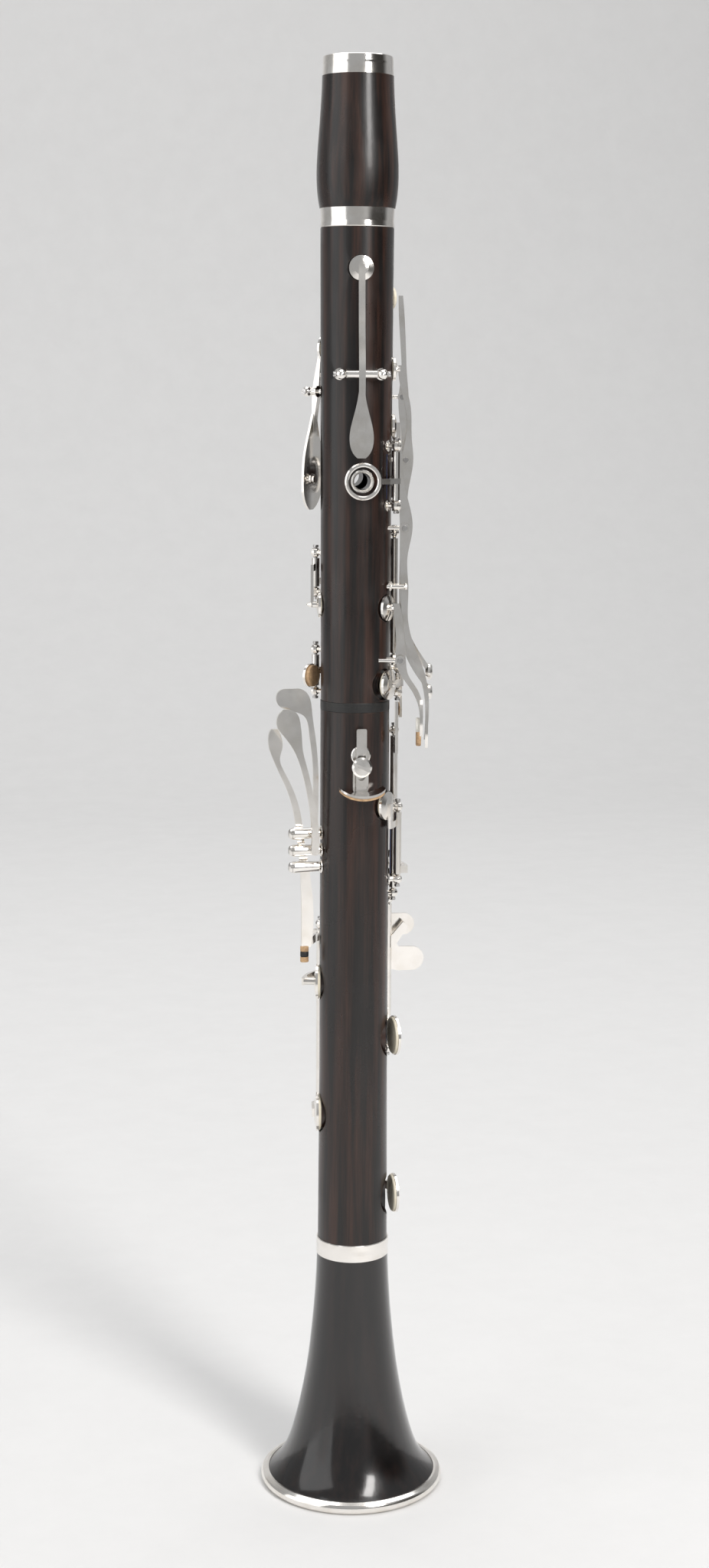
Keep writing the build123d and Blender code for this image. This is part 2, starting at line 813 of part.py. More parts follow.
# Key guide: a forked block that steadies the tall levers half way down
with BuildPart() as side_key_guide:
    for lane in guide_lanes:
        foot = post_foot(guide_height, lane)
        turned(
            side_azimuth,
            guide_height,
            [(foot - 2.5, 0), (foot - 2.5, 0.9), (foot, 0.9), (foot, 1.9), (foot + 0.5, 1.9), (foot + 0.8, 0.9),
             (19.6, 0.9), (20.2, 1.15), (20.8, 1.0), (21.2, 0)],
            sideways=lane,
        )
side_key_guide.part.label = "side_key_guide"

# Thumb rest: a round base on the body, a flat slide with its shelf, one big screw
rest_height = 312.5
shelf_height = 302.0


def round_corners(front_edge, half_width, radius):
    """Rounds the two outer corners of the shelf, seen from above."""
    with BuildSketch(Plane.XY.offset(shelf_height - 4)) as corners:
        with Locations((0, -front_edge + 5)):
            Rectangle(2 * half_width + 4, 10.2)
        with Locations((0, -front_edge + 8)):
            RectangleRounded(2 * half_width, 16, radius, mode=Mode.SUBTRACT)
    extrude(corners.sketch, amount=10, mode=Mode.SUBTRACT)


with BuildPart() as thumb_rest_base:
    wood = wood_radius(rest_height)
    turned(
        0.0,
        rest_height + 4.5,
        [(wood, 0), (wood, 4.0), (wood + 1.1, 4.0), (wood + 1.4, 3.6), (wood + 1.4, 0)],
    )
    with BuildSketch(facing(0.0, wood, rest_height - 2.0)) as foot_plate:
        SlotCenterToCenter(14, 6.4, rotation=90)
    extrude(foot_plate.sketch, amount=1.0)
    peg(0.0, rest_height, 12.0, 20.0, 1.6, mode=Mode.SUBTRACT)
thumb_rest_base.part.label = "thumb_rest_base"

with BuildPart() as thumb_rest_slide:
    slide_level = wood_radius(rest_height) + 1.5
    with BuildSketch(facing(0.0, slide_level, shelf_height + 12.6)) as slide_bar:
        RectangleRounded(4.2, 26.8, 0.7)
    extrude(slide_bar.sketch, amount=1.7)
    with BuildSketch(facing(0.0, slide_level - 1, rest_height)) as slot:
        SlotCenterToCenter(8.0, 3.3, rotation=90)
    extrude(slot.sketch, amount=4, mode=Mode.SUBTRACT)
    # The shelf is a shallow upward curve, as wide as a thumb
    with BuildSketch(facing(0.0, slide_level, shelf_height)) as shelf:
        with BuildLine():
            top = ThreePointArc((-9.1, 2.4), (0, -0.2), (9.1, 2.4))
            under = ThreePointArc((-9.1, 1.5), (0, -1.2), (9.1, 1.5))
            Line(top @ 0, under @ 0)
            Line(top @ 1, under @ 1)
        make_face()
    extrude(shelf.sketch, amount=9.5)
    round_corners(slide_level + 9.5, 9.1, 4.0)
thumb_rest_slide.part.label = "thumb_rest_slide"

with BuildPart() as thumb_rest_cork:
    with BuildSketch(facing(0.0, slide_level + 0.4, shelf_height)) as lining:
        with BuildLine():
            top = ThreePointArc((-8.9, 1.3), (0, -1.3), (8.9, 1.3))
            under = ThreePointArc((-8.9, 0.4), (0, -2.2), (8.9, 0.4))
            Line(top @ 0, under @ 0)
            Line(top @ 1, under @ 1)
        make_face()
    extrude(lining.sketch, amount=8.9)
    round_corners(slide_level + 9.3, 8.9, 3.8)
thumb_rest_cork.part.label = "thumb_rest_cork"

with BuildPart() as thumb_rest_screw:
    head = slide_level + 1.75
    turned(
        0.0,
        rest_height,
        [(12.4, 0), (12.4, 1.5), (head, 1.5), (head, 4.1), (head + 0.9, 4.1), (head + 1.5, 3.3), (head + 1.6, 0)],
    )
    with BuildSketch(facing(0.0, head + 0.9, rest_height)) as slot:
        Rectangle(10, 1.1, rotation=-25)
    extrude(slot.sketch, amount=2, mode=Mode.SUBTRACT)
thumb_rest_screw.part.label = "thumb_rest_screw"

# Register key: long ridged lever, teardrop touch for the thumb
with BuildPart() as register_key:
    hinge_tube("register_key")
    cup("register_key")
    crown = crown_level("register_key")
    blade(
        -3.0,
        0.0,
        [(511.5, crown - 0.4, crown + 0.6), (504, crown - 0.3, crown + 1.1), (486, 17.0, 18.7),
         (469, 17.6, 20.4), (458, 18.1, 19.9), (448, 18.0, 19.2), (438, 17.4, 18.4)],
        2.6,
    )
    leaf(
        facing(-3.0, 18.0, 0),
        [(436.2, -1.6, 1.6), (438.5, -3.6, 3.6), (444.5, -4.8, 4.8), (452, -3.4, 3.4), (459, -1.7, 1.7), (465, -1.3, 1.3)],
        1.1,
    )
    hinge_bore("register_key")
register_key.part.label = "register_key"

# Thumb ring: ring, arm to the upright tube, and a tab that passes on under the tall levers
with BuildPart() as thumb_ring_key:
    hinge_tube("thumb_ring_key")
    finger_ring(0.0, thumb_height)
    level = wood_radius(thumb_height) + ring_clearance
    with BuildSketch(Plane.XY.offset(thumb_height - 1.1)) as arm:
        with BuildLine():
            near = Polyline(
                (ring_inner + 0.8, -level - 0.1),
                (ring_inner + 0.8, -level - ring_depth + 0.1),
                (11.0, -16.6),
                (15.9, -12.4),
                (14.0, -10.2),
                (10.0, -14.2),
                close=True,
            )
        make_face()
    extrude(arm.sketch, amount=2.2)
    strap(51.5, 88.0, 15.2, 16.4, thumb_height - 2.0, thumb_height + 1.6)
    strap(49.5, 53.5, 15.4, 18.4, thumb_height - 2.0, thumb_height + 1.6)
    hinge_bore("thumb_ring_key")
thumb_ring_key.part.label = "thumb_ring_key"

# First finger ring with its vent pad above it, and a tab that meets the thumb ring's tab
with BuildPart() as upper_ring_cup:
    cup("upper_ring_key")
    pad_arm("upper_ring_key", 436.0, 2.8)
    link(158.0, crown_level("upper_ring_key") - 0.5, 434.6, 448.5)

with BuildPart() as upper_ring_key:
    hinge_tube("upper_ring_key")
    finger_ring(front, hole_rings["first"], ring_shift)
    ring_arm("upper_ring_key", 428.0, 428.0)
    strap(91.0, 112.0, 14.75, 15.6, 425.2, 428.4)
    strap(109.5, 114.5, 14.75, 18.4, 425.2, 428.4)
    add(stand_open("upper_ring_key", upper_ring_cup.part))
    hinge_bore("upper_ring_key")
upper_ring_key.part.label = "upper_ring_key"

# Second and third finger rings share one key with a vent pad between them
with BuildPart() as middle_ring_cup:
    cup("middle_ring_key")
    pad_arm("middle_ring_key", 382.0, 2.8)

with BuildPart() as middle_ring_key:
    hinge_tube("middle_ring_key")
    for ring in ("second", "third"):
        finger_ring(front, hole_rings[ring], ring_shift)
        ring_arm("middle_ring_key", hole_rings[ring], hole_rings[ring])
    add(stand_open("middle_ring_key", middle_ring_cup.part))
    hinge_bore("middle_ring_key")
middle_ring_key.part.label = "middle_ring_key"

# Bridge key on the upper joint: vent pad on one side of its tube, bridge tab on the other
with BuildPart() as bridge_cup:
    cup("bridge_key")
    pad_arm("bridge_key", 345.4, 2.8)
    crown = crown_level("bridge_key")
    turned(48.0, 345.0, [(crown - 0.3, 0), (crown - 0.3, 1.3), (crown + 1.4, 0.5), (crown + 1.7, 0)])

with BuildPart() as bridge_key:
    hinge_tube("bridge_key")
    strap(85.0, 98.5, 18.6, 19.8, 343.2, 347.8)
    strap(93.2, 98.5, 18.6, 19.8, 330.0, 347.8)
    add(stand_open("bridge_key", bridge_cup.part))
    hinge_bore("bridge_key")
bridge_key.part.label = "bridge_key"

# Throat keys
with BuildPart() as throat_a_key:
    hinge_tube("throat_a_key")
    cup("throat_a_key")
    crown = crown_level("throat_a_key")
    blade(
        178.0,
        0.0,
        [(489, crown - 0.4, crown + 0.7), (480, 16.6, 18.4), (468, 17.6, 20.4), (460, 18.6, 20.2), (452, 18.7, 19.8)],
        2.4,
    )
    leaf(
        facing(178.0, 18.8, 0),
        [(443.5, -2.0, 2.0), (446, -4.2, 4.2), (452, -4.6, 4.6), (458, -3.2, 3.2), (465, -1.3, 1.3)],
        1.1,
    )
    hinge_bore("throat_a_key")
throat_a_key.part.label = "throat_a_key"

with BuildPart() as g_sharp_key:
    hinge_tube("g_sharp_key")
    cup("g_sharp_key")
    crown = crown_level("g_sharp_key")
    blade(
        228.0,
        0.0,
        [(481, crown - 0.4, crown + 0.7), (472, 16.8, 18.6), (462, 17.6, 20.4), (454, 19.0, 20.6), (446, 19.6, 20.8)],
        2.4,
    )
    leaf(
        facing(228.0, 19.7, 0),
        [(414.5, 1.6, 4.2), (418, -2.6, 7.2), (427, -5.6, 8.4), (437, -5.2, 7.2), (446, -2.6, 4.0), (453, -1.2, 1.4)],
        1.1,
    )
    # Adjusting stud under the leaf
    turned(
        228.0,
        427.0,
        [(16.6, 0), (16.6, 1.6), (17.6, 1.6), (17.7, 2.1), (18.6, 2.1), (18.8, 1.3), (19.8, 1.3), (19.8, 0)],
        sideways=4.5,
    )
    hinge_bore("g_sharp_key")
g_sharp_key.part.label = "g_sharp_key"

# Tall levers. Heights with the inner and the outer edge of each one
lane = side_lanes["trill_key_4"]
with BuildPart() as trill_key_4:
    cup("trill_key_4")
    peg(102.1, 499.0, crown_level("trill_key_4") - 1.05, 18.2, 1.0)
    blade(
        side_azimuth,
        lane,
        [(500, 16.6, 18.4), (490, 16.9, 19.2), (478, 17.7, 19.8), (469, 17.9, 20.2), (460, 16.9, 21.0), (445, 18.0, 20.8),
         (420, 17.9, 20.9), (396, 17.9, 20.9), (374, 17.9, 20.4), (364, 19.6, 22.4), (356, 24.2, 26.8), (350, 28.6, 31.0)],
        blade_thickness,
    )
    hinge_tube("trill_key_4")
    turned(
        side_azimuth,
        348.5,
        [(28.8, 0), (28.8, 2.6), (29.8, 3.5), (30.8, 3.5), (31.6, 2.6), (31.9, 0)],
        sideways=lane + 1.6,
    )
    hinge_bore("trill_key_4")
trill_key_4.part.label = "trill_key_4"

lane = side_lanes["trill_key_3"]
with BuildPart() as trill_key_3:
    blade(
        side_azimuth,
        lane,
        [(472.5, 16.7, 18.6), (464, 17.6, 20.0), (456, 19.6, 21.8), (444, 19.9, 22.3), (435, 18.0, 23.0), (424, 17.9, 21.3),
         (396, 17.9, 20.9), (372, 17.9, 20.4), (358, 19.8, 22.4), (349, 24.2, 26.6), (343, 28.6, 30.8)],
        blade_thickness,
    )
    cup("trill_key_3")
    peg(85.7, 471.0, crown_level("trill_key_3") - 0.5, 17.4, 1.2)
    hinge_tube("trill_key_3")
    turned(
        side_azimuth,
        341.0,
        [(28.8, 0), (28.8, 2.2), (29.8, 3.0), (30.8, 3.0), (31.5, 2.2), (31.8, 0)],
        sideways=lane - 0.6,
    )
    hinge_bore("trill_key_3")
trill_key_3.part.label = "trill_key_3"

lane = side_lanes["side_key_2"]
with BuildPart() as side_key_2:
    crown = crown_level("side_key_2")
    blade(
        side_azimuth,
        lane,
        [(450, 16.0, 17.4), (440, 16.2, 18.2), (424, 17.0, 19.8), (408, 17.8, 22.9), (396, 17.9, 20.9), (384.5, 18.3, 21.4),
         (372, 18.8, 21.3), (362, 20.5, 23.4), (352, 24.6, 27.4), (343, 27.7, 29.7), (334, 28.7, 30.2), (322, 28.2, 29.5)],
        blade_thickness,
    )
    cup("side_key_2")
    with BuildSketch(Plane.XY.offset(447.2)) as cross_arm:
        with BuildLine():
            Polyline(
                (place(side_azimuth, 16.0, 0, lane - 0.5).X, place(side_azimuth, 16.0, 0, lane - 0.5).Y),
                (place(side_azimuth, 17.3, 0, lane - 0.5).X, place(side_azimuth, 17.3, 0, lane - 0.5).Y),
                (place(side_azimuth, 17.3, 0, 2.2).X, place(side_azimuth, 17.3, 0, 2.2).Y),
                (place(side_azimuth, crown - 0.5, 0, 2.2).X, place(side_azimuth, crown - 0.5, 0, 2.2).Y),
                (place(side_azimuth, crown - 0.5, 0, 0.2).X, place(side_azimuth, crown - 0.5, 0, 0.2).Y),
                close=True,
            )
        make_face()
    extrude(cross_arm.sketch, amount=2.4)
    hinge_tube("side_key_2")
    leaf(
        facing(side_azimuth, 28.7, 0, lane + 0.3),
        [(318.6, -1.6, 1.6), (321.5, -3.0, 3.0), (328, -3.2, 3.2), (334, -2.2, 2.2), (337, -0.9, 0.9)],
        1.2,
    )
    hinge_bore("side_key_2")
side_key_2.part.label = "side_key_2"

lane = side_lanes["side_key_1"]
with BuildPart() as side_key_1:
    blade(
        side_azimuth,
        lane,
        [(378, 15.2, 17.8), (370, 16.0, 19.4), (362, 16.6, 20.0), (355, 16.5, 20.6), (349, 18.6, 21.6),
         (343, 22.8, 25.4), (337, 25.6, 27.4), (331, 26.4, 27.7), (326, 26.0, 27.2)],
        blade_thickness,
    )
    cup("side_key_1")
    peg(54.0, 376.0, crown_level("side_key_1") - 0.5, 17.9, 1.3)
    hinge_tube("side_key_1")
    leaf(
        facing(side_azimuth, 26.4, 0, lane - 2.2),
        [(324.4, -1.4, 1.4), (327, -2.9, 3.0), (332, -3.2, 3.1), (337, -1.6, 2.9), (339, 0.6, 2.6)],
        1.2,
    )
    hinge_bore("side_key_1")
side_key_1.part.label = "side_key_1"

# Left hand C sharp key and the sliver key
with BuildPart() as c_sharp_key:
    hinge_tube("c_sharp_key")
    cup("c_sharp_key")
    crown = crown_level("c_sharp_key")
    strap(200.0, 235.0, crown - 0.5, crown + 0.9, 347.6, 350.4)
    strap(233.0, 246.0, 17.0, 18.6, 344.6, 351.4)
    with BuildSketch(facing(225.0, 17.2, 347.0, 6.6)) as touch:
        Ellipse(4.6, 4.9)
    extrude(touch.sketch, amount=1.1)
    hinge_bore("c_sharp_key")
c_sharp_key.part.label = "c_sharp_key"

with BuildPart() as sliver_key:
    hinge_tube("sliver_key")
    cup("sliver_key")
    crown = crown_level("sliver_key")
    strap(238.0, 262.0, 17.0, 18.2, 390.0, 392.8)
    strap(259.0, 265.0, 17.0, 18.2, 375.6, 392.8)
    peg(262.0, 376.6, crown - 0.5, 17.4, 1.3)
    turned(262.0, 376.6, [(17.4, 0), (18.0, 1.5), (19.6, 0.5), (20.0, 0)])
    strap(196.0, 238.0, 17.0, 18.4, 384.2, 386.8)
    hinge_bore("sliver_key")
sliver_key.part.label = "sliver_key"

# Right hand ring key: three rings, a vent pad and the bridge lever
with BuildPart() as lower_ring_cup:
    cup("lower_ring_key")
    pad_arm("lower_ring_key", 264.0, 2.6)
    link(150.0, crown_level("lower_ring_key") - 0.5, 258.5, 265.3)

with BuildPart() as lower_ring_key:
    hinge_tube("lower_ring_key")
    for ring in ("fourth", "fifth", "sixth"):
        finger_ring(front, hole_rings[ring], ring_shift)
    ring_arm("lower_ring_key", 297.0, 297.0)
    ring_arm("lower_ring_key", 272.0, 272.0)
    ring_arm("lower_ring_key", 247.0, 260.0, reach_end=-0.6)
    link(front, wood_radius(247.0) + ring_clearance, 253.2, 261.5, sideways=-2.1)
    # The bridge lever passes up over the joint, under the upper key's tab
    strap(92.5, 105.0, 17.0, 18.25, 315.0, 321.5)
    strap(92.5, 97.4, 17.0, 18.25, 315.0, 336.5)
    add(stand_open("lower_ring_key", lower_ring_cup.part))
    hinge_bore("lower_ring_key")
lower_ring_key.part.label = "lower_ring_key"

with BuildPart() as fork_key:
    hinge_tube("fork_key")
    cup("fork_key")
    crown = crown_level("fork_key")
    strap(50.0, 84.0, crown - 0.5, crown + 0.8, 285.6, 288.4)
    strap(49.0, 55.0, crown - 0.5, crown + 0.8, 286.0, 296.0)
    strap(82.0, 86.0, 18.0, 22.2, 265.4, 268.4)
    strap(82.0, 148.0, 21.0, 22.2, 265.4, 268.4)
    hinge_bore("fork_key")
fork_key.part.label = "fork_key"

# Right hand little finger keys
with BuildPart() as f_cup:
    cup("f_key")
    pad_arm("f_key", 196.0, 3.6)

with BuildPart() as f_key:
    hinge_tube("f_key")
    add(stand_open("f_key", f_cup.part))
    with BuildSketch(Plane.XZ.offset(-8.2)) as touch:
        with BuildLine():
            Polyline((17.0, 222.0), (20.5, 221.2), (26, 221.2))
            rim = ThreePointArc((26, 221.2), (31.2, 225.4), (26.6, 231.4))
            Polyline((26.6, 231.4), (19.6, 231.6), (17.0, 230.4), (17.0, 222.0))
        make_face()
    extrude(touch.sketch, amount=-1.2)
    # Crow's foot: one toe under each neighbouring touch
    with BuildSketch(Plane.XZ.offset(-6.9)) as crows_foot:
        with BuildLine():
            Polyline(
                (17.0, 231.4),
                (21.8, 226.6),
                (23.4, 228.2),
                (19.4, 233.0),
                (24.2, 240.4),
                (22.2, 242.4),
                (17.0, 236.4),
                close=True,
            )
        make_face()
    extrude(crows_foot.sketch, amount=-1.3)
    hinge_bore("f_key")
f_key.part.label = "f_key"

with BuildPart() as e_cup:
    cup("e_key")
    pad_arm("e_key", 127.0, 3.6)

with BuildPart() as e_key:
    hinge_tube("e_key")
    add(stand_open("e_key", e_cup.part))
    with BuildSketch(Plane.XZ.offset(-11.2)) as touch:
        with BuildLine():
            Polyline((13.4, 236.6), (24, 236.0))
            rim = ThreePointArc((24, 236.0), (27.6, 239.8), (23.4, 245.2))
            Polyline((23.4, 245.2), (13.4, 245.2), (13.4, 236.6))
        make_face()
    extrude(touch.sketch, amount=-1.2)
    hinge_bore("e_key")
e_key.part.label = "e_key"

with BuildPart() as a_flat_key:
    hinge_tube("a_flat_key")
    cup("a_flat_key")
    crown = crown_level("a_flat_key")
    strap(204.0, 261.0, 20.3, 21.6, 217.6, 220.4)
    strap(202.5, 205.5, 18.6, 21.6, 217.6, 220.4)
    peg(258.0, 219.0, crown - 0.5, 20.8, 1.5)
    strap(150.0, 204.0, 21.4, 22.7, 224.5, 227.5)
    strap(202.5, 205.5, 18.6, 22.7, 224.5, 227.5)
    with BuildSketch(facing(150.0, 22.0, 226.5)) as touch:
        RectangleRounded(8.0, 9.6, 3.0)
    extrude(touch.sketch, amount=1.4)
    hinge_bore("a_flat_key")
a_flat_key.part.label = "a_flat_key"

with BuildPart() as f_sharp_key:
    hinge_tube("f_sharp_key")
    cup("f_sharp_key")
    pad_arm("f_sharp_key", 163.0, 3.6)
    # Tail that the left hand lever pushes round
    strap(222.0, 255.0, 17.0, 18.3, 234.6, 238.0)
    # Arm across the front to the right hand touch
    strap(150.0, 222.0, 21.4, 22.7, 235.2, 238.2)
    strap(220.5, 223.5, 18.6, 22.7, 235.2, 238.2)
    with BuildSketch(facing(150.0, 22.0, 238.6)) as touch:
        RectangleRounded(8.0, 9.6, 3.0)
    extrude(touch.sketch, amount=1.4)
    hinge_bore("f_sharp_key")
f_sharp_key.part.label = "f_sharp_key"

# Left hand little finger levers: blades that turn on their studs, in three layers
lever_lanes = {"lever_f": 0.0, "lever_e": 4.4, "lever_f_sharp": -4.4}
lever_shapes = {
    "lever_f": [(343.0, 24.0, 29.6), (340.5, 19.9, 33.0), (337.0, 18.6, 32.6), (334.5, 18.3, 29.0), (331.5, 18.0, 21.4),
                (324, 16.9, 19.3), (314, 15.8, 18.0), (300, 15.4, 17.6), (284, 15.6, 18.4)],
    "lever_e": [(335.0, 28.0, 31.0), (332.5, 25.0, 33.4), (328.5, 24.0, 33.8), (325.0, 23.6, 31.6), (319, 23.2, 27.2),
                (310, 21.0, 23.6), (300, 18.8, 21.2), (288, 16.6, 19.4), (276.5, 16.2, 19.4)],
    "lever_f_sharp": [(326.0, 31.6, 34.2), (322.5, 29.9, 35.4), (318, 29.6, 35.0), (314, 30.6, 33.6), (308, 28.6, 31.0),
                      (302, 25.6, 28.2), (292, 22.2, 25.0), (280, 20.4, 23.2), (267, 18.2, 22.0), (234, 17.3, 21.4)],
}
lever_parts = {}
for name, stations in lever_shapes.items():
    height = lever_studs_heights[name]
    lane = lever_lanes[name]
    with BuildPart() as lever:
        blade(lever_azimuth, lane, stations, 1.3)
        turned(
            lever_azimuth,
            height,
            [(15.2, 1.0), (15.2, 2.1), (25.6, 2.5), (26.5, 2.3), (26.5, 1.0)],
        )
        if lane:
            level = 17.6 if lane > 0 else 20.2
            bar(place(lever_azimuth, level, height), place(lever_azimuth, level, height, lane), 1.7)
        bar(place(lever_azimuth, 14.0, height), place(lever_azimuth, 28.0, height), 1.25, mode=Mode.SUBTRACT)
    lever.part.label = name
    lever_parts[name] = lever

# Pads, each one glued into its cup
pad_parts = {}
for name in upper_padded + lower_padded:
    with BuildPart() as pad_part:
        pad(name)
    pad_parts[name] = stand_open(name, pad_part.part)
    pad_parts[name].label = name.replace("_key", "_pad")

pieces = [
    barrel_body, barrel_rings, upper_joint_body, tenon_corks, bore_tubes, lower_joint_body,
    lower_joint_socket_band, bell_body, bell_socket_ring, bell_rim_ring, upper_posts, lower_posts, hinge_rods,
    lever_studs, needle_springs, side_key_guide, thumb_rest_base, thumb_rest_slide, thumb_rest_cork,
    thumb_rest_screw, register_key, thumb_ring_key, upper_ring_key, middle_ring_key, bridge_key, throat_a_key,
    g_sharp_key, trill_key_4, trill_key_3, side_key_2, side_key_1, c_sharp_key, sliver_key, lower_ring_key,
    fork_key, f_key, e_key, a_flat_key, f_sharp_key,
]
pieces += list(lever_parts.values())

os.makedirs("parts", exist_ok=True)
for piece in pieces:
    export_step(piece.part, "parts/" + piece.part.label + ".step")
for pad_shape in pad_parts.values():
    export_step(pad_shape, "parts/" + pad_shape.label + ".step")
print(len(pieces) + len(pad_parts), "pieces, total length", total_length)
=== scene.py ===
import json
import math

import bmesh
import bpy
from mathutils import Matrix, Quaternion, Vector


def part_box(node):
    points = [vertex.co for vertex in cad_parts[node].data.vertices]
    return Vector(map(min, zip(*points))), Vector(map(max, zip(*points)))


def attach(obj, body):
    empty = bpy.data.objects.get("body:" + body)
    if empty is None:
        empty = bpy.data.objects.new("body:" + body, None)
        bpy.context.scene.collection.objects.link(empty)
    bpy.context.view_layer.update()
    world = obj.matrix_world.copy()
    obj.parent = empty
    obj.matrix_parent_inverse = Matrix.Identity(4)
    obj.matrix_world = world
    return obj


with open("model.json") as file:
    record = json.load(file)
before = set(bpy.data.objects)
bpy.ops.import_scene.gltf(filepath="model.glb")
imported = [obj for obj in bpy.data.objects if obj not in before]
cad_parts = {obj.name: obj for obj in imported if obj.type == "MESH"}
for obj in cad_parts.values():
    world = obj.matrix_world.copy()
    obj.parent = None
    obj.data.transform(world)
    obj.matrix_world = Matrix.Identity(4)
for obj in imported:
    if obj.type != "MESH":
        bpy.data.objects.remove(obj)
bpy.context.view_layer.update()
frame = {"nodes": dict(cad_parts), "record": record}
nodes = frame["nodes"]
print("frame loaded,", len(nodes), "nodes")


def newMaterial(name):
    mat = bpy.data.materials.new(name)
    mat.use_nodes = True
    tree = mat.node_tree
    return mat, tree, tree.nodes["Principled BSDF"]


def addNode(tree, kind, x=0, y=0, **settings):
    node = tree.nodes.new(kind)
    node.location = (x, y)
    for key, value in settings.items():
        setattr(node, key, value)
    return node


def feed(tree, socket, value):
    # a link when the value is another node's output, else a plain number or colour
    if isinstance(value, bpy.types.NodeSocket):
        tree.links.new(value, socket)
    elif socket.type == "RGBA":
        socket.default_value = (*value, 1.0)
    else:
        socket.default_value = value


def noise(tree, vector, scale, detail, rough=0.55, x=0, y=0):
    node = addNode(tree, "ShaderNodeTexNoise", x, y)
    feed(tree, node.inputs["Vector"], vector)
    feed(tree, node.inputs["Scale"], scale)
    feed(tree, node.inputs["Detail"], detail)
    feed(tree, node.inputs["Roughness"], rough)
    return node.outputs["Fac"]


def mapRange(tree, value, low, high, toLow=0.0, toHigh=1.0, x=0, y=0):
    node = addNode(tree, "ShaderNodeMapRange", x, y)
    feed(tree, node.inputs["Value"], value)
    for key, number in (("From Min", low), ("From Max", high), ("To Min", toLow), ("To Max", toHigh)):
        node.inputs[key].default_value = number
    return node.outputs["Result"]


def mixColour(tree, factor, first, second, x=0, y=0, blend="MIX"):
    node = addNode(tree, "ShaderNodeMix", x, y, data_type="RGBA", blend_type=blend)
    for index, value in ((0, factor), (6, first), (7, second)):  # the colour sockets of a Mix node
        feed(tree, node.inputs[index], value)
    return node.outputs[2]


def combine(tree, operation, first, second, x=0, y=0):
    node = addNode(tree, "ShaderNodeMath", x, y, operation=operation)
    feed(tree, node.inputs[0], first)
    feed(tree, node.inputs[1], second)
    return node.outputs[0]


def startGroup(name, inputs, outputs):
    group = bpy.data.node_groups.new(name, "ShaderNodeTree")
    for label, value in inputs.items():
        socket = group.interface.new_socket(name=label, in_out="INPUT", socket_type="NodeSocketFloat")
        socket.default_value = value
    for label in outputs:
        group.interface.new_socket(name=label, in_out="OUTPUT", socket_type="NodeSocketFloat")
    return group, addNode(group, "NodeGroupInput", -900), addNode(group, "NodeGroupOutput", 700)


def edgeWearGroup():
    # how sharp an outside corner is, broken up by noise
    group, inside, out = startGroup("Edge wear", {"Radius": 0.0006, "Breakup": 900.0}, ["Mask"])
    bevel = addNode(group, "ShaderNodeBevel", -600, samples=4)
    group.links.new(inside.outputs["Radius"], bevel.inputs["Radius"])
    geometry = addNode(group, "ShaderNodeNewGeometry", -600, 200)
    agreement = addNode(group, "ShaderNodeVectorMath", -400, operation="DOT_PRODUCT")
    group.links.new(bevel.outputs["Normal"], agreement.inputs[0])
    group.links.new(geometry.outputs["Normal"], agreement.inputs[1])
    edge = mapRange(group, agreement.outputs["Value"], 0.99, 0.8, x=-200)
    coord = addNode(group, "ShaderNodeTexCoord", -800, -200)
    grit = noise(group, coord.outputs["Object"], inside.outputs["Breakup"], 2.0, 0.5, -400, -200)
    broken = mapRange(group, grit, 0.35, 0.6, x=0, y=-200)
    group.links.new(combine(group, "MULTIPLY", edge, broken, 300), out.inputs["Mask"])
    return group


def longGrainGroup():
    # streaks that run up the bore
    group, inside, out = startGroup("Long grain", {"Stretch": 0.04, "Scale": 900.0}, ["Streaks", "Fine"])
    coord = addNode(group, "ShaderNodeTexCoord", -800)
    squeeze = addNode(group, "ShaderNodeCombineXYZ", -700, -200)
    squeeze.inputs["X"].default_value = 1.0
    squeeze.inputs["Y"].default_value = 1.0
    group.links.new(inside.outputs["Stretch"], squeeze.inputs["Z"])
    stretched = addNode(group, "ShaderNodeVectorMath", -500, operation="MULTIPLY")
    group.links.new(coord.outputs["Object"], stretched.inputs[0])
    group.links.new(squeeze.outputs["Vector"], stretched.inputs[1])
    for label, factor, level in (("Streaks", 0.35, 0), ("Fine", 2.2, -200)):
        scale = combine(group, "MULTIPLY", inside.outputs["Scale"], factor, -400, level)
        lines = noise(group, stretched.outputs["Vector"], scale, 6.0, 0.5, -200, level)
        group.links.new(lines, out.inputs[label])
    return group


def handlingGroup():
    # soft smears left by fingers
    group, inside, out = startGroup("Handling marks", {"Scale": 60.0, "Amount": 1.0}, ["Smears"])
    coord = addNode(group, "ShaderNodeTexCoord", -800)
    cloud = noise(group, coord.outputs["Object"], inside.outputs["Scale"], 5.0, 0.5, -500)
    smears = mapRange(group, cloud, 0.4, 0.65, x=-200)
    group.links.new(combine(group, "MULTIPLY", smears, inside.outputs["Amount"], 100), out.inputs["Smears"])
    return group


wearGroup = edgeWearGroup()
grainGroup = longGrainGroup()
smearGroup = handlingGroup()


def useGroup(tree, group, x=0, y=0, **inputs):
    node = addNode(tree, "ShaderNodeGroup", x, y, node_tree=group)
    for key, value in inputs.items():
        node.inputs[key].default_value = value
    return node


def bump(tree, shader, height, strength, distance):
    node = addNode(tree, "ShaderNodeBump", -200, -500)
    node.inputs["Strength"].default_value = strength
    node.inputs["Distance"].default_value = distance
    tree.links.new(height, node.inputs["Height"])
    tree.links.new(node.outputs["Normal"], shader.inputs["Normal"])


